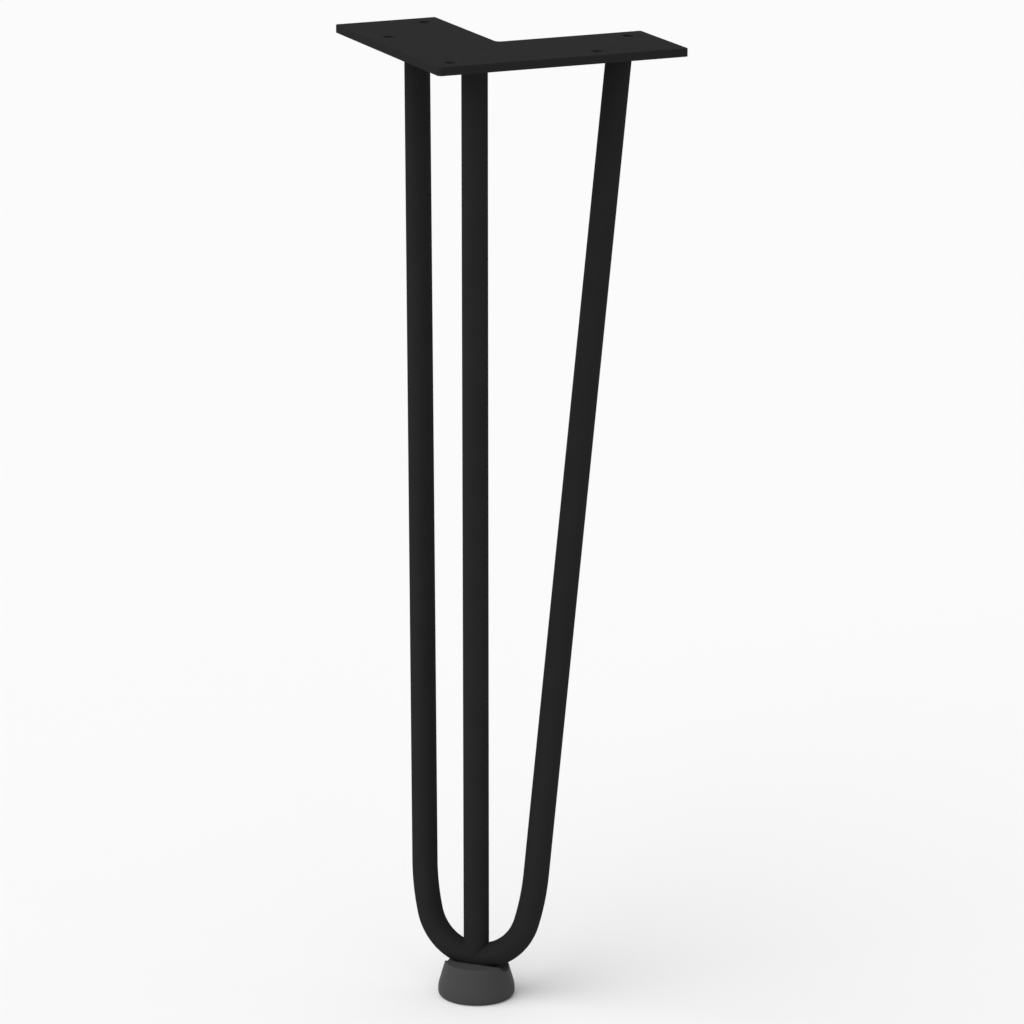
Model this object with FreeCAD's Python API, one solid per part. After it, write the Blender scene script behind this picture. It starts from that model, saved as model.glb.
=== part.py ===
import FreeCAD, Part
import os
from math import asin, atan2, cos, degrees, hypot, pi, radians, sin, sqrt, tan

# Hairpin table leg, in millimetres: three rods welded under an L-shaped corner plate.
# The origin is on the axis of the corner rod, in the top face of the plate.
# X and Y run along the two arms of the plate, and Z points up to the table top.

# Whole leg, from the table top's underside to the floor
leg_height = 450.0

# Mounting plate
plate_arm_length = 122.0
plate_arm_width = 50.0
plate_thickness = 4.0
outer_corner_radius = 2.5
inner_corner_radius = 2.5
end_corner_radius = 0.8
plate_edge_break = 0.3

# Screw holes, measured from the plate's edges
screw_hole_diameter = 5.0
screw_hole_inset = 10.0
middle_hole_distance = 81.5
end_hole_inset = 11.0

# Rods. Each of the hairpin's legs is placed from the end and from the inner edge of its arm.
rod_diameter = 12.0
corner_rod_inset = 30.4
leg_end_inset = 18.6
leg_inner_inset = 17.0

# Bend at the hairpin's lower end, measured along the middle of the rod
bend_radius = 25.15
bend_half_angle = 75.0
lead_in_radius = 118.0

# The hollowed end of the corner rod stops this far above the middle of the bend.
cope_stop = 1.0

# Weld beads under the plate. Those of the hairpin leave a gap that faces the end screw hole.
weld_leg = 3.5
weld_toe = 0.4
weld_gap_angle = 90.0

# Foot
foot_height = 16.5
foot_top_diameter = 29.4
foot_base_diameter = 36.2
foot_taper_angle = 16.0
foot_side_radius = 13.0
foot_rim_break = 0.6
foot_base_round = 1.9
groove_depth = 3.4
groove_clearance = 0.2

# Levels and places that follow from the sizes above
rod_radius = rod_diameter / 2
plate_corner = -corner_rod_inset
leg_far = plate_corner + plate_arm_length - leg_end_inset
leg_near = plate_corner + plate_arm_width - leg_inner_inset
half_spread = (leg_far - leg_near) / sqrt(2)
hairpin_setback = (leg_far + leg_near) / sqrt(2)
underside_z = -plate_thickness
floor_z = -leg_height
groove_bottom_z = floor_z + foot_height - groove_depth
bend_axis_z = groove_bottom_z + rod_radius

# The hairpin lies in one plane, which leans back from its bend to the line of its tops.
upright = FreeCAD.Vector(0, 0, 1)
across = FreeCAD.Vector(1, -1, 0).normalize()
backward = FreeCAD.Vector(1, 1, 0).normalize()
bend_bottom = upright * bend_axis_z
plane_rise = upright * (underside_z - bend_axis_z) + backward * hairpin_setback
plane_reach = plane_rise.Length
along = FreeCAD.Vector(plane_rise).normalize()


def rounded_outline(corners):
    """A closed outline in the XY plane from corners given as (x, y, radius)."""
    points = [FreeCAD.Vector(x, y, 0) for x, y, radius in corners]
    starts = []
    ends = []
    arcs = []
    for number, (x, y, radius) in enumerate(corners):
        corner = points[number]
        to_before = (points[number - 1] - corner).normalize()
        to_after = (points[(number + 1) % len(points)] - corner).normalize()
        half_angle = to_before.getAngle(to_after) / 2
        starts.append(corner + to_before * (radius / tan(half_angle)))
        ends.append(corner + to_after * (radius / tan(half_angle)))
        inward = (to_before + to_after).normalize()
        middle = corner + inward * (radius / sin(half_angle) - radius)
        arcs.append([Part.Arc(starts[-1], middle, ends[-1]).toShape()] if radius > 0 else [])
    edges = []
    for number, arc in enumerate(arcs):
        next_start = starts[(number + 1) % len(starts)]
        edges += arc + [Part.LineSegment(ends[number], next_start).toShape()]
    return Part.Wire(edges)


def screw_hole_centres():
    """The corner hole, then the middle and the end hole of each arm."""
    edge = plate_corner + screw_hole_inset
    middle = plate_corner + middle_hole_distance
    end = plate_corner + plate_arm_length - end_hole_inset
    inner = plate_corner + plate_arm_width - screw_hole_inset
    return [(edge, edge), (middle, edge), (edge, middle), (end, inner), (inner, end)]


def mounting_plate():
    """The flat L-shaped plate with its softened edges and five screw holes."""
    near = plate_corner
    far = plate_corner + plate_arm_length
    inner = plate_corner + plate_arm_width
    outline = rounded_outline([
        (near, near, outer_corner_radius),
        (far, near, end_corner_radius),
        (far, inner, end_corner_radius),
        (inner, inner, inner_corner_radius),
        (inner, far, end_corner_radius),
        (near, far, end_corner_radius),
    ])
    plate = Part.Face(outline).extrude(upright * plate_thickness)
    rims = plate.Faces[-1].Edges + plate.Faces[-2].Edges
    plate = plate.makeChamfer(plate_edge_break, rims)
    plate.translate(upright * underside_z)
    for x, y in screw_hole_centres():
        base = FreeCAD.Vector(x, y, underside_z)
        plate = plate.cut(Part.makeCylinder(screw_hole_diameter / 2, plate_thickness, base))
    return plate


def space_above_underside():
    """A block that takes away whatever stands above the plate's underside."""
    width = 4 * (half_spread + hairpin_setback)
    return Part.makeBox(width, width, width, FreeCAD.Vector(-width / 2, -width / 2, underside_z))


def hairpin_point(sideways, upward):
    """A point in the hairpin's plane, measured from the middle of the bend."""
    return bend_bottom + across * sideways + along * upward


def hairpin_path():
    """Leg, lead-in, bend, lead-in and leg, each tangent to the next, past the plate's underside."""
    half_angle = radians(bend_half_angle)
    lead_side = (bend_radius - lead_in_radius) * sin(half_angle)
    lead_up = bend_radius - (bend_radius - lead_in_radius) * cos(half_angle)
    top_side = half_spread - lead_side
    top_up = plane_reach - lead_up
    splay = atan2(top_side, top_up) - asin(lead_in_radius / hypot(top_side, top_up))
    leg_angle = pi / 2 - splay

    def lead_in_point(angle):
        return lead_side + lead_in_radius * sin(angle), lead_up - lead_in_radius * cos(angle)

    overrun = rod_diameter
    one_side = [
        (half_spread + overrun * sin(splay), plane_reach + overrun * cos(splay)),
        lead_in_point(leg_angle),
        lead_in_point((half_angle + leg_angle) / 2),
        lead_in_point(half_angle),
    ]
    left = [hairpin_point(-sideways, upward) for sideways, upward in one_side]
    right = [hairpin_point(sideways, upward) for sideways, upward in one_side]
    return Part.Wire([
        Part.LineSegment(left[0], left[1]).toShape(),
        Part.Arc(left[1], left[2], left[3]).toShape(),
        Part.Arc(left[3], bend_bottom, right[3]).toShape(),
        Part.Arc(right[3], right[2], right[1]).toShape(),
        Part.LineSegment(right[1], right[0]).toShape(),
    ])


def hairpin_rod(path):
    """One rod bent into a hairpin, with both tops cut flush with the plate's underside."""
    first = path.Edges[0]
    start = first.valueAt(first.FirstParameter)
    heading = first.tangentAt(first.FirstParameter)
    section = Part.Wire([Part.makeCircle(rod_radius, start, heading)])
    rod = path.makePipeShell([section], True, False)
    return rod.cut(space_above_underside())


def corner_rod(hairpin):
    """The straight rod under the corner, its lower end hollowed to sit on the bend."""
    lower_end = bend_bottom + upright * cope_stop
    rod = Part.makeCylinder(rod_radius, underside_z - lower_end.z, lower_end)
    return rod.cut(hairpin)


def weld_bead(rod, rod_top, heading, gap_angle):
    """The sloping bead round a rod's top, flush with the plate and open at the back by the gap angle."""
    toe_radius = rod_radius + weld_toe
    growth = weld_leg - weld_toe
    base = upright * -weld_leg
    turn = degrees(atan2(backward.y, backward.x)) + gap_angle / 2
    ring = Part.makeCone(toe_radius, toe_radius + 2 * growth, 2 * weld_leg, base, upright, 360 - gap_angle)
    ring.rotate(FreeCAD.Vector(0, 0, 0), upright, turn)
    ring.Placement = FreeCAD.Placement(rod_top, FreeCAD.Rotation(upright, heading)) * ring.Placement
    return ring.cut(space_above_underside()).cut(rod)


def foot():
    """The turned, flared foot, with the straight groove across its top that the bend sits in."""
    top_radius = foot_top_diameter / 2
    base_radius = foot_base_diameter / 2
    slope = tan(radians(foot_taper_angle))
    flare_z = foot_height - (base_radius - top_radius) / slope
    profile = rounded_outline([
        (0, 0, 0),
        (base_radius, 0, foot_base_round),
        (base_radius, flare_z, foot_side_radius),
        (top_radius + foot_rim_break * slope, foot_height - foot_rim_break, 0),
        (top_radius - foot_rim_break, foot_height, 0),
        (0, foot_height, 0),
    ])
    profile.rotate(FreeCAD.Vector(0, 0, 0), FreeCAD.Vector(1, 0, 0), 90)
    profile.translate(upright * floor_z)
    body = Part.Face(profile).revolve(bend_bottom, upright, 360)
    groove_radius = rod_radius + groove_clearance
    groove_start = upright * (groove_bottom_z + groove_radius) - across * base_radius
    return body.cut(Part.makeCylinder(groove_radius, 2 * base_radius, groove_start, across))


def build():
    """Every piece of the leg under its own name."""
    path = hairpin_path()
    hairpin = hairpin_rod(path)
    straight = corner_rod(hairpin)
    corner_top = upright * underside_z
    left_top = hairpin_point(-half_spread, plane_reach)
    right_top = hairpin_point(half_spread, plane_reach)
    left_heading = path.Edges[0].tangentAt(path.Edges[0].FirstParameter) * -1
    right_heading = path.Edges[-1].tangentAt(path.Edges[-1].LastParameter)
    return {
        "mounting_plate": mounting_plate(),
        "corner_rod": straight,
        "hairpin_rod": hairpin,
        "corner_rod_weld": weld_bead(straight, corner_top, upright, 0),
        "left_leg_weld": weld_bead(hairpin, left_top, left_heading, weld_gap_angle),
        "right_leg_weld": weld_bead(hairpin, right_top, right_heading, weld_gap_angle),
        "foot": foot(),
    }


os.makedirs("parts", exist_ok=True)
for name, piece in build().items():
    piece.Solids[0].exportStep(f"parts/{name}.step")
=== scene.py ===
from math import acos, asin, atan2, cos, hypot, pi, radians, sin, sqrt, tan, tau

import bmesh
import bpy
from mathutils import Matrix, Vector


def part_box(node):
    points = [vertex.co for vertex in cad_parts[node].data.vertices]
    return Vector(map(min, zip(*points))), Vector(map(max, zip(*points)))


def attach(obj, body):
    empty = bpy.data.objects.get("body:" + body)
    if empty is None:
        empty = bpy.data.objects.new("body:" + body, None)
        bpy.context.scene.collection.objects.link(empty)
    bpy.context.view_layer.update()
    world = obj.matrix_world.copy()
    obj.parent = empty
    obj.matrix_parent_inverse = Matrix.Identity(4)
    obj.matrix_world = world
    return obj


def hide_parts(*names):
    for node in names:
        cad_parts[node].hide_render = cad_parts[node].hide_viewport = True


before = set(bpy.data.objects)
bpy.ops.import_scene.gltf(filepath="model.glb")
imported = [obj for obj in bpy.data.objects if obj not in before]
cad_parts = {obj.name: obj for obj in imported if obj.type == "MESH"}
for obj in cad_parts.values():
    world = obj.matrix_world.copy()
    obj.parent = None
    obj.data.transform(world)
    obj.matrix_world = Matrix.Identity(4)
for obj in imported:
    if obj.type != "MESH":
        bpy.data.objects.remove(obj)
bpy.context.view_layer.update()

# Hairpin table leg, in metres. The origin is on the corner rod's axis, in the plate's top face.
# The levels come from the CAD nodes, and the sizes below shape the finer meshes that stand for them.
floor_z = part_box("foot")[0].z
plate_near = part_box("mounting_plate")[0].x
plate_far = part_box("mounting_plate")[1].x
plate_top_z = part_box("mounting_plate")[1].z
underside_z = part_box("mounting_plate")[0].z
hairpin_bottom_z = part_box("hairpin_rod")[0].z
foot_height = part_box("foot")[1].z - floor_z

# Mounting plate
plate_arm_width = 0.050
outer_corner_radius = 0.0025
inner_corner_radius = 0.0025
end_corner_radius = 0.0008
corner_steps = 8
plate_edge_round = 0.0004
plate_edge_steps = 3
merge_distance = 0.000002

# Screw holes
screw_hole_radius = 0.0025
screw_hole_inset = 0.010
middle_hole_distance = 0.0815
end_hole_inset = 0.011
screw_hole_sides = 48

# Rods
rod_radius = 0.006
leg_end_inset = 0.0186
leg_inner_inset = 0.0170
bend_radius = 0.02515
bend_half_angle = radians(75)
lead_in_radius = 0.118
rod_sides = 72

# Spacing of the rings of points along a rod, and how much closer they are where the hairpin curves
ring_spacing = 0.003
bend_ring_factor = 3
lead_in_ring_factor = 2

# Hollowed end of the corner rod, with smaller rings across it at these shares of the rod's radius
cope_stop = 0.001
cope_ring_shares = (0.75, 0.5, 0.25, 0.02)
cope_halvings = 30

# Weld beads, sunk a little into the rod and the plate. A leg's bead leaves a gap at the back.
weld_leg = 0.0033
weld_bulge = 0.00045
weld_sink = 0.00015
weld_gap_angle = radians(90)
weld_end_angle = radians(14)
bead_rows = 10

# Ripples of a bead, one for each pulse of the torch
ripple_count = 32
ripple_height = 0.00022
ripple_curl = 0.55
ripple_sharpness = 0.7
ripple_columns = 10

# Slow unevenness of a bead, as (share of its size, waves in one turn, phase)
bead_waves = ((0.04, 3, 0), (0.03, 7, 1))

# Foot, turned about the corner rod's axis
foot_top_radius = 0.0147
foot_base_radius = 0.0181
foot_taper = radians(16)
foot_side_radius = 0.013
foot_rim_round = 0.0009
foot_base_round = 0.0019
foot_base_steps = 8
foot_side_steps = 5
foot_taper_steps = 24
foot_top_steps = 14

# Straight groove across the foot's top
groove_clearance = 0.0002
groove_edge_round = 0.0004
groove_steps = 16
groove_edge_steps = 6

# Shading. Edges that turn by more than these angles look sharp.
sharp_angle = radians(40)
bead_sharp_angle = radians(75)
flat_face_weight = 100

# Black powder coat. Scales are in cells to the metre, and depths are in metres.
coat_dark = (0.0163, 0.0163, 0.0166)
coat_light = (0.0200, 0.0200, 0.0203)
coat_patch_scale = 60
coat_peel_scale = 700
coat_peel_depth = 0.00004
coat_grain_scale = 2600
coat_grain_depth = 0.00002
coat_smoothest = 0.85
coat_roughest = 0.95
coat_shine = 0.022

# Material of the foot, in the same units
rubber_dark = (0.048, 0.048, 0.049)
rubber_light = (0.057, 0.057, 0.058)
rubber_patch_scale = 90
rubber_grain_scale = 3200
rubber_grain_depth = 0.000012
rubber_smoothest = 0.5
rubber_roughest = 0.65
rubber_shine = 0.08

# Noise in both materials. Most of its values lie between the low and the high one.
patch_detail = 3
peel_detail = 2
grain_detail = 3
noise_low = 0.3
noise_high = 0.7

# The photograph's camera in the same frame. Its angles are in degrees, its sensor in millimetres.
image_width = 1024
focal_pixels = 4862.135
sensor_width = 36.0
camera_place = (-0.853696, -1.976645, 0.386309)
camera_heading = 23.806
camera_drop = 15.581
camera_range = 50

# Studio. The key light's direction points from the leg to the light.
floor_size = 30
floor_colour = (0.92, 0.92, 0.92)
floor_roughness = 0.9
backdrop_level = 0.94
fill_level = 0.66
key_direction = (-1.0, 0.0, 1.1)
key_strength = 1.65
key_softness = radians(70)

# The hairpin's plane leans back from its bend to the line of its tops.
upright = Vector((0, 0, 1))
across = Vector((1, -1, 0)).normalized()
backward = Vector((1, 1, 0)).normalized()
bend_bottom = upright * (hairpin_bottom_z + rod_radius)
leg_far = plate_far - leg_end_inset
leg_near = plate_near + plate_arm_width - leg_inner_inset
half_spread = (leg_far - leg_near) / sqrt(2)
plane_rise = backward * ((leg_far + leg_near) / sqrt(2)) + upright * underside_z - bend_bottom
plane_reach = plane_rise.length
along = plane_rise.normalized()
facing = across.cross(along)


def steps(start, end, count):
    """Evenly spaced values from start to end, both included."""
    return [start + (end - start) * number / count for number in range(count + 1)]


def circle(sides):
    """The angles of an open ring of points."""
    return steps(0, tau, sides)[:-1]


def skin(rings, looped=False):
    """Quads between rings of equal length, which meet end to end or have a face over each end."""
    size = len(rings[0])
    points = [point for ring in rings for point in ring]
    faces = []
    for row in range(len(rings) if looped else len(rings) - 1):
        low = row * size
        high = (row + 1) % len(rings) * size
        for place in range(size):
            after = (place + 1) % size
            faces.append((low + place, low + after, high + after, high + place))
    if not looped:
        faces += [range(size), range(len(points) - size, len(points))]
    return points, faces


def add_piece(name, node, material, shape, smooth_below=sharp_angle):
    """A mesh that stands for one CAD node, smooth except at edges that turn by more than an angle."""
    points, faces = shape
    mesh = bpy.data.meshes.new(name)
    work = bmesh.new()
    corners = [work.verts.new(point) for point in points]
    for face in faces:
        work.faces.new([corners[place] for place in face])
    bmesh.ops.recalc_face_normals(work, faces=work.faces)
    for face in work.faces:
        face.smooth = True
    work.to_mesh(mesh)
    work.free()
    mesh.set_sharp_from_angle(angle=smooth_below)
    mesh.materials.append(material)
    piece = bpy.data.objects.new(name, mesh)
    bpy.context.scene.collection.objects.link(piece)
    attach(piece, "root")
    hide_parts(node)
    return piece


def keep_flats(piece):
    """Weights the shading so that flat faces stay flat beside rounded edges."""
    weighted = piece.modifiers.new("flat_faces", "WEIGHTED_NORMAL")
    weighted.keep_sharp = True
    weighted.weight = flat_face_weight


def hairpin_point(sideways, upward):
    """A point in the hairpin's plane, measured from the middle of the bend."""
    return bend_bottom + across * sideways + along * upward


def arc_stations(side, up, radius, headings):
    """Stations (sideways, upward, heading) along an arc about (side, up) in the hairpin's plane."""
    return [
        (side + radius * sin(heading), up - radius * cos(heading), heading)
        for heading in headings
    ]


def half_hairpin():
    """Stations from the middle of the bend through the lead-in and up one leg to the plate."""
    lead_side = (bend_radius - lead_in_radius) * sin(bend_half_angle)
    lead_up = bend_radius - (bend_radius - lead_in_radius) * cos(bend_half_angle)
    top_side = half_spread - lead_side
    top_up = plane_reach - lead_up
    splay = atan2(top_side, top_up) - asin(lead_in_radius / hypot(top_side, top_up))
    leg_heading = pi / 2 - splay
    bend_count = round(bend_radius * bend_half_angle / ring_spacing) * bend_ring_factor
    bend_headings = steps(0, bend_half_angle, bend_count)
    stations = arc_stations(0, bend_radius, bend_radius, bend_headings)
    lead_length = lead_in_radius * (leg_heading - bend_half_angle)
    lead_count = round(lead_length / ring_spacing) * lead_in_ring_factor
    lead_headings = steps(bend_half_angle, leg_heading, lead_count)[1:]
    stations += arc_stations(lead_side, lead_up, lead_in_radius, lead_headings)
    start_side, start_up, heading = stations[-1]
    leg_length = hypot(half_spread - start_side, plane_reach - start_up)
    for distance in steps(0, leg_length, round(leg_length / ring_spacing))[1:]:
        sideways = start_side + distance * cos(heading)
        upward = start_up + distance * sin(heading)
        stations.append((sideways, upward, heading))
    return stations


def hairpin_ring(sideways, upward, heading):
    """The round section of the hairpin at one station."""
    centre = hairpin_point(sideways, upward)
    normal = along * cos(heading) - across * sin(heading)
    return [
        centre + (normal * cos(angle) + facing * sin(angle)) * rod_radius
        for angle in circle(rod_sides)
    ]


def slid_to_plate(ring, heading):
    """The ring with its points slid along the rod to the plate's underside."""
    tangent = across * cos(heading) + along * sin(heading)
    return [point + tangent * ((underside_z - point.z) / tangent.z) for point in ring]


def add_hairpin(material):
    """One rod bent into a hairpin, with both tops cut flush with the plate's underside."""
    right = half_hairpin()
    left = [(-sideways, upward, -heading) for sideways, upward, heading in reversed(right[1:])]
    rings = [hairpin_ring(*station) for station in left + right]
    top_heading = right[-1][2]
    rings[0] = slid_to_plate(rings[0], -top_heading)
    rings[-1] = slid_to_plate(rings[-1], top_heading)
    add_piece("bent_hairpin_rod", "hairpin_rod", material, skin(rings))


def height_over_bend(x, y):
    """Where a plumb line at (x, y) meets the top of the bend, or else the level of the rod's end."""
    low = bend_bottom.z + cope_stop
    high = bend_bottom.z + 2 * rod_radius
    for halving in range(cope_halvings):
        middle = (low + high) / 2
        offset = Vector((x, y, middle)) - bend_bottom
        from_centre = hypot(offset.dot(across), offset.dot(along) - bend_radius)
        if hypot(from_centre - bend_radius, offset.dot(facing)) < rod_radius:
            low = middle
        else:
            high = middle
    return low


def add_corner_rod(material):
    """The straight rod, whose lower end is hollowed to sit on the bend."""
    edge = [(rod_radius * cos(angle), rod_radius * sin(angle)) for angle in circle(rod_sides)]
    ends = [height_over_bend(x, y) for x, y in edge]
    rings = []
    for share in steps(0, 1, round((underside_z - min(ends)) / ring_spacing)):
        levels = [underside_z + (end - underside_z) * share for end in ends]
        rings.append([(x, y, level) for (x, y), level in zip(edge, levels)])
    for share in cope_ring_shares:
        inner = [(x * share, y * share) for x, y in edge]
        rings.append([(x, y, height_over_bend(x, y)) for x, y in inner])
    add_piece("coped_corner_rod", "corner_rod", material, skin(rings))


def bead_fullness(from_end):
    """How full a bead is at an angle from its end, growing from nothing as a quarter circle."""
    share = max(0, min(1, from_end / weld_end_angle))
    return sqrt(1 - (1 - share) ** 2)


def bead_unevenness(angle):
    """The slow unevenness of a bead at an angle round its rod, as a factor of its size."""
    factor = 1
    for size, waves, phase in bead_waves:
        factor += size * sin(waves * angle + phase)
    return factor


def bead_section(rod_top, heading, angle, fullness):
    """A bead's outline at an angle round its rod, from the plate to the rod and back inside both."""
    outward = Vector((cos(angle), sin(angle), 0))
    leg = weld_leg * fullness * bead_unevenness(angle)
    section = []
    for share in steps(0, 1, bead_rows):
        phase = ripple_count * angle / tau + ripple_curl * (2 * share - 1) ** 2
        ripple = ripple_height * fullness * abs(sin(pi * phase)) ** ripple_sharpness
        bulge = (weld_bulge * fullness + ripple) * sin(pi * share) / sqrt(2)
        distance = leg * (1 - share) + bulge - weld_sink * share
        depth = leg * share + bulge - weld_sink * (1 - share)
        centre = rod_top - heading * (depth / heading.z)
        section.append(centre + outward * (rod_radius + distance))
    section.append(rod_top + upright * weld_sink + outward * (rod_radius - weld_sink))
    return section


def add_weld(name, node, rod_top, heading, gap_angle, material):
    """A rippled bead round a rod's top, which ends in round tips where it leaves a gap."""
    back = atan2(backward.y, backward.x)
    looped = gap_angle == 0
    rings = []
    count = ripple_count * ripple_columns
    angles = steps(back + gap_angle / 2, back + tau - gap_angle / 2, count)
    for angle in angles[:-1] if looped else angles:
        from_end = min(angle - back, back + tau - angle) - gap_angle / 2
        fullness = 1 if looped else bead_fullness(from_end)
        rings.append(bead_section(rod_top, heading, angle, fullness))
    add_piece(name, node, material, skin(rings, looped), bead_sharp_angle)


def add_welds(material):
    """One bead for each of the three rods."""
    top_side, top_up, heading = half_hairpin()[-1]
    left_top = hairpin_point(-top_side, top_up)
    right_top = hairpin_point(top_side, top_up)
    left_heading = along * sin(heading) - across * cos(heading)
    right_heading = along * sin(heading) + across * cos(heading)
    add_weld("corner_rod_bead", "corner_rod_weld", upright * underside_z, upright, 0, material)
    add_weld("left_leg_bead", "left_leg_weld", left_top, left_heading, weld_gap_angle, material)
    add_weld("right_leg_bead", "right_leg_weld", right_top, right_heading, weld_gap_angle, material)


def rounded_outline(corners):
    """A closed outline from corners given as (x, y, radius), with an arc at each."""
    outline = []
    for number, (x, y, radius) in enumerate(corners):
        corner = Vector((x, y))
        before = Vector(corners[number - 1][:2])
        after = Vector(corners[(number + 1) % len(corners)][:2])
        to_before = (before - corner).normalized()
        to_after = (after - corner).normalized()
        half_angle = to_before.angle(to_after) / 2
        start = corner + to_before * (radius / tan(half_angle))
        end = corner + to_after * (radius / tan(half_angle))
        centre = corner + (to_before + to_after).normalized() * (radius / sin(half_angle))
        clockwise_turn = (start - centre).angle_signed(end - centre)
        for angle in steps(0, -clockwise_turn, corner_steps):
            outline.append(centre + Matrix.Rotation(angle, 2) @ (start - centre))
    return outline


def plate_outline():
    """The plate's L-shaped outline."""
    near = plate_near
    far = plate_far
    inner = plate_near + plate_arm_width
    return rounded_outline([
        (near, near, outer_corner_radius),
        (far, near, end_corner_radius),
        (far, inner, end_corner_radius),
        (inner, inner, inner_corner_radius),
        (inner, far, end_corner_radius),
        (near, far, end_corner_radius),
    ])


def screw_hole_centres():
    """The corner hole, then the middle and the end hole of each arm."""
    edge = plate_near + screw_hole_inset
    middle = plate_near + middle_hole_distance
    end = plate_far - end_hole_inset
    inner = plate_near + plate_arm_width - screw_hole_inset
    return [(edge, edge), (middle, edge), (edge, middle), (end, inner), (inner, end)]


def screw_hole_outline(x, y):
    """The round outline of a screw hole about (x, y)."""
    return [
        Vector((x + screw_hole_radius * cos(angle), y + screw_hole_radius * sin(angle)))
        for angle in circle(screw_hole_sides)
    ]


def plate_curve(outlines):
    """A flat curve filled between its outlines, as thick as the plate and with its rounded rims."""
    curve = bpy.data.curves.new("plate_outline", "CURVE")
    curve.dimensions = "2D"
    curve.fill_mode = "BOTH"
    curve.extrude = (plate_top_z - underside_z) / 2 - plate_edge_round
    curve.bevel_depth = plate_edge_round
    curve.bevel_resolution = plate_edge_steps
    curve.offset = -plate_edge_round
    for outline in outlines:
        spline = curve.splines.new("POLY")
        spline.points.add(len(outline) - 1)
        for place, point in zip(spline.points, outline):
            place.co = (point.x, point.y, 0, 1)
        spline.use_cyclic_u = True
    return curve


def curve_surface(curve, lift):
    """The points and faces of a curve's surface, lifted, with the points that coincide merged."""
    drawn = bpy.data.objects.new("plate_outline", curve)
    bpy.context.scene.collection.objects.link(drawn)
    surface = bpy.data.meshes.new_from_object(drawn)
    bpy.data.objects.remove(drawn)
    work = bmesh.new()
    work.from_mesh(surface)
    bmesh.ops.remove_doubles(work, verts=work.verts, dist=merge_distance)
    bmesh.ops.translate(work, verts=work.verts, vec=lift)
    work.verts.index_update()
    points = [vertex.co.copy() for vertex in work.verts]
    faces = [[vertex.index for vertex in face.verts] for face in work.faces]
    work.free()
    return points, faces


def add_plate(material):
    """The flat L-shaped plate, with softly rounded rims on its outline and its screw holes."""
    holes = [screw_hole_outline(x, y) for x, y in screw_hole_centres()]
    curve = plate_curve([plate_outline()] + holes)
    shape = curve_surface(curve, upright * (plate_top_z + underside_z) / 2)
    plate = add_piece("rounded_mounting_plate", "mounting_plate", material, shape)
    keep_flats(plate)


def arc(x, y, radius, start, end, count):
    """Points on an arc about (x, y), with both of its ends."""
    return [(x + radius * cos(angle), y + radius * sin(angle)) for angle in steps(start, end, count)]


def foot_radius(height):
    """The radius of the foot's taper and of its rounded rim at a height above the floor."""
    rim_height = foot_height - foot_rim_round
    if height < rim_height + foot_rim_round * sin(foot_taper):
        return foot_top_radius + (foot_height - height) * tan(foot_taper)
    rim_middle = foot_top_radius - foot_rim_round * (1 - sin(foot_taper)) / cos(foot_taper)
    return rim_middle + sqrt(max(0, foot_rim_round ** 2 - (height - rim_height) ** 2))


def foot_column(top):
    """Points (radius, height) up the foot's side, from its flat base to the given height."""
    base_middle = foot_base_radius - foot_base_round
    base = arc(base_middle, foot_base_round, foot_base_round, -pi / 2, 0, foot_base_steps)
    flare_height = foot_height - (foot_base_radius - foot_top_radius) / tan(foot_taper)
    side_middle = foot_base_radius - foot_side_radius
    side_height = flare_height - foot_side_radius * tan(foot_taper / 2)
    side = arc(side_middle, side_height, foot_side_radius, 0, foot_taper, foot_side_steps)
    start = side[-1][1]
    shares = steps(0, 1, foot_taper_steps)[1:]
    heights = [top - (top - start) * (1 - share) ** 2 for share in shares]
    return base + side + [(foot_radius(height), height) for height in heights]


def foot_top_lines():
    """Lines across the foot's top, as (distance, height), from the groove's middle out to the rim."""
    groove_radius = rod_radius + groove_clearance
    groove_axis = hairpin_bottom_z - floor_z + groove_radius
    edge_height = foot_height - groove_edge_round
    reach = groove_radius + groove_edge_round
    turn = acos((groove_axis - edge_height) / reach)
    edge_middle = reach * sin(turn)
    groove = arc(0, groove_axis, groove_radius, -pi / 2, turn - pi / 2, groove_steps)
    edge_start = pi / 2 + turn
    edge = arc(edge_middle, edge_height, groove_edge_round, edge_start, pi / 2, groove_edge_steps)
    rim = foot_radius(foot_height)
    top_angles = steps(asin(edge_middle / rim), pi / 2, foot_top_steps)
    top = [(rim * sin(angle), foot_height) for angle in top_angles]
    return groove + edge[1:] + top[1:]


def foot_columns_around():
    """The angle and the top height of each column of the foot's side, once around."""
    lines = foot_top_lines()
    quarter = [(asin(min(1, distance / foot_radius(top))), top) for distance, top in lines]
    half = quarter + [(pi - angle, top) for angle, top in reversed(quarter[:-1])]
    return half + [(pi + angle, top) for angle, top in half[1:-1]]


def foot_top_faces(first, size):
    """Strips across the foot's top. Each joins two neighbours in its top ring to the two opposite."""
    turns = size // 4
    faces = []
    for place in range(-turns, turns):
        corners = [place, place + 1, 2 * turns - place - 1, 2 * turns - place]
        faces.append(list(dict.fromkeys(first + corner % size for corner in corners)))
    return faces


def add_foot(material):
    """The turned foot. Each line across its top joins two columns of its side."""
    columns = []
    for angle, top in foot_columns_around():
        outward = across * cos(angle) + backward * sin(angle)
        columns.append([
            outward * radius + upright * (floor_z + height)
            for radius, height in foot_column(top)
        ])
    points, faces = skin(list(zip(*columns)))
    faces.pop()
    faces += foot_top_faces(len(points) - len(columns), len(columns))
    foot = add_piece("turned_foot", "foot", material, (points, faces))
    keep_flats(foot)


def new_material(name):
    """A new material and its shader."""
    material = bpy.data.materials.new(name)
    material.use_nodes = True
    return material, material.node_tree.nodes["Principled BSDF"]


def add_node(tree, kind, **settings):
    """A new node with the given settings."""
    node = tree.nodes.new(kind)
    for key, value in settings.items():
        setattr(node, key, value)
    return node


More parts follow.
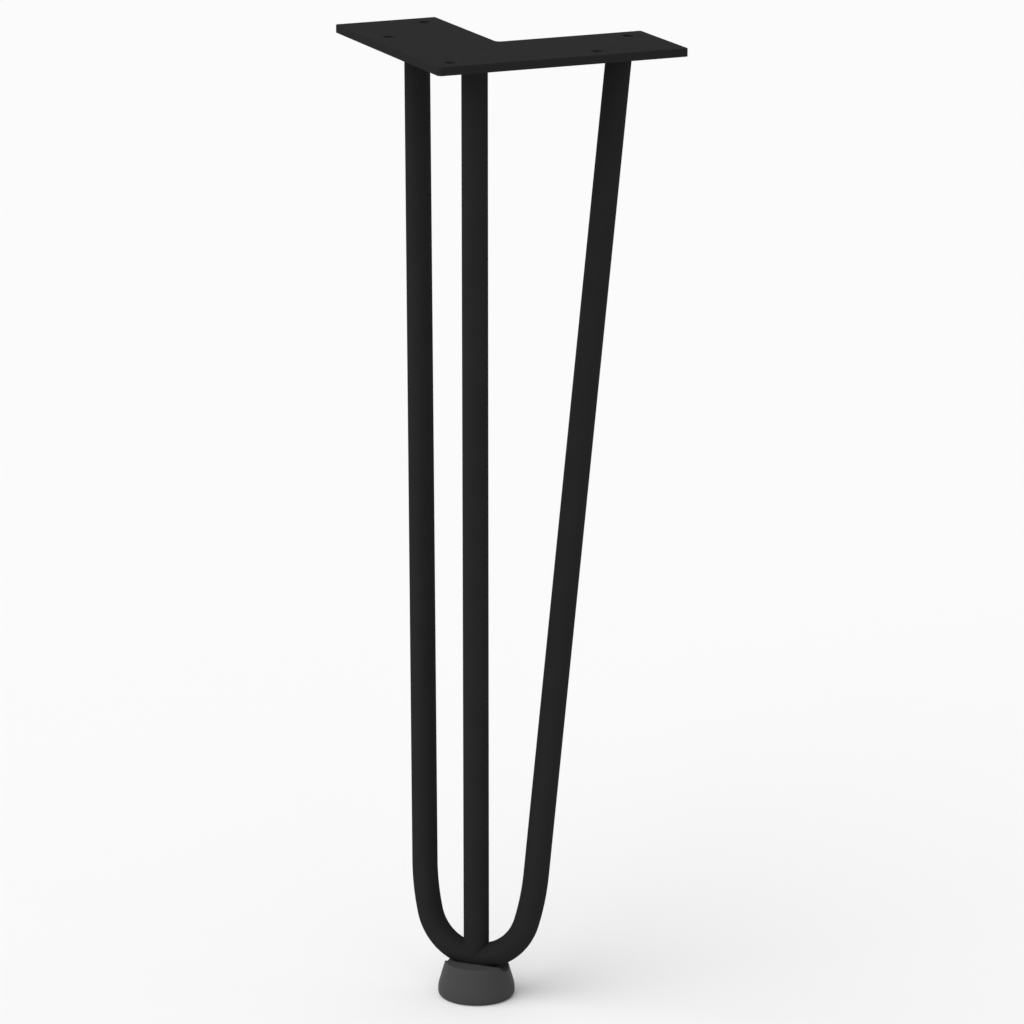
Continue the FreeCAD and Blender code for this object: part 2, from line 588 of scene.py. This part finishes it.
def noise(tree, coordinates, scale, detail):
    """Cloudy noise with the given number of cells to the metre."""
    node = add_node(tree, "ShaderNodeTexNoise")
    node.inputs["Scale"].default_value = scale
    node.inputs["Detail"].default_value = detail
    tree.links.new(coordinates, node.inputs["Vector"])
    return node.outputs["Fac"]


def spread(tree, value, low, high):
    """Noise turned into values between low and high."""
    node = add_node(tree, "ShaderNodeMapRange")
    node.inputs["From Min"].default_value = noise_low
    node.inputs["From Max"].default_value = noise_high
    node.inputs["To Min"].default_value = low
    node.inputs["To Max"].default_value = high
    tree.links.new(value, node.inputs["Value"])
    return node.outputs["Result"]


def bump(tree, height, depth, before=None):
    """Relief of the given depth, on top of the relief that comes before it."""
    node = add_node(tree, "ShaderNodeBump")
    node.inputs["Distance"].default_value = depth
    tree.links.new(height, node.inputs["Height"])
    if before:
        tree.links.new(before, node.inputs["Normal"])
    return node.outputs["Normal"]


def tint(tree, value, dark, light):
    """A colour between dark and light."""
    node = add_node(tree, "ShaderNodeMix", data_type="RGBA")
    node.inputs["A"].default_value = (*dark, 1)
    node.inputs["B"].default_value = (*light, 1)
    tree.links.new(value, node.inputs["Factor"])
    return node.outputs["Result"]


def powder_coat():
    """Matte black powder coat: a low orange peel under a fine grain."""
    material, shader = new_material("black_coat")
    tree = material.node_tree
    place = add_node(tree, "ShaderNodeTexCoord").outputs["Object"]
    patches = noise(tree, place, coat_patch_scale, patch_detail)
    peel = noise(tree, place, coat_peel_scale, peel_detail)
    grain = noise(tree, place, coat_grain_scale, grain_detail)
    colour = tint(tree, patches, coat_dark, coat_light)
    roughness = spread(tree, grain, coat_smoothest, coat_roughest)
    normal = bump(tree, grain, coat_grain_depth, bump(tree, peel, coat_peel_depth))
    tree.links.new(colour, shader.inputs["Base Color"])
    tree.links.new(roughness, shader.inputs["Roughness"])
    tree.links.new(normal, shader.inputs["Normal"])
    shader.inputs["Specular IOR Level"].default_value = coat_shine
    return material


def foot_rubber():
    """Dark grey rubber: a fine matte grain with a soft uneven sheen."""
    material, shader = new_material("foot_grey")
    tree = material.node_tree
    place = add_node(tree, "ShaderNodeTexCoord").outputs["Object"]
    patches = noise(tree, place, rubber_patch_scale, patch_detail)
    grain = noise(tree, place, rubber_grain_scale, grain_detail)
    colour = tint(tree, patches, rubber_dark, rubber_light)
    roughness = spread(tree, grain, rubber_smoothest, rubber_roughest)
    tree.links.new(colour, shader.inputs["Base Color"])
    tree.links.new(roughness, shader.inputs["Roughness"])
    tree.links.new(bump(tree, grain, rubber_grain_depth), shader.inputs["Normal"])
    shader.inputs["Specular IOR Level"].default_value = rubber_shine
    return material


def place_camera():
    """The photograph's camera."""
    data = bpy.data.cameras.new("photo_camera")
    data.sensor_width = sensor_width
    data.lens = focal_pixels * sensor_width / image_width
    data.clip_end = camera_range
    camera = bpy.data.objects.new("photo_camera", data)
    camera.location = camera_place
    camera.rotation_euler = (radians(90 - camera_drop), 0, radians(-camera_heading))
    bpy.context.scene.collection.objects.link(camera)
    bpy.context.scene.camera = camera


def studio_floor():
    """A plain pale floor under the foot."""
    material, shader = new_material("pale_floor")
    shader.inputs["Base Color"].default_value = (*floor_colour, 1)
    shader.inputs["Roughness"].default_value = floor_roughness
    shader.inputs["Specular IOR Level"].default_value = 0
    bpy.ops.mesh.primitive_plane_add(size=floor_size, location=(0, 0, floor_z))
    floor = bpy.context.object
    floor.name = "studio_floor"
    floor.data.materials.append(material)


def studio_world():
    """A white backdrop wherever it is seen or reflected, and a softer fill for all other light."""
    world = bpy.data.worlds.new("studio_world")
    bpy.context.scene.world = world
    world.use_nodes = True
    tree = world.node_tree
    ray = add_node(tree, "ShaderNodeLightPath")
    seen = ray.outputs["Is Camera Ray"]
    for kind in ("Is Glossy Ray", "Is Transmission Ray"):
        either = add_node(tree, "ShaderNodeMath", operation="MAXIMUM")
        tree.links.new(seen, either.inputs[0])
        tree.links.new(ray.outputs[kind], either.inputs[1])
        seen = either.outputs[0]
    level = add_node(tree, "ShaderNodeMix", data_type="FLOAT")
    level.inputs["A"].default_value = fill_level
    level.inputs["B"].default_value = backdrop_level
    tree.links.new(seen, level.inputs["Factor"])
    background = tree.nodes["Background"]
    background.inputs["Color"].default_value = (1, 1, 1, 1)
    tree.links.new(level.outputs["Result"], background.inputs["Strength"])


def soft_lamp(name, towards, strength, softness):
    """Light from far away in the given direction, with shadows as soft as a large softbox gives."""
    data = bpy.data.lights.new(name, "SUN")
    data.energy = strength
    data.angle = softness
    lamp = bpy.data.objects.new(name, data)
    lamp.rotation_euler = (-Vector(towards)).to_track_quat("-Z", "Y").to_euler()
    bpy.context.scene.collection.objects.link(lamp)


bpy.context.scene.view_settings.view_transform = "Standard"
black = powder_coat()
grey = foot_rubber()
add_hairpin(black)
add_corner_rod(black)
add_plate(black)
add_welds(black)
add_foot(grey)
place_camera()
studio_floor()
studio_world()
soft_lamp("key_light", key_direction, key_strength, key_softness)
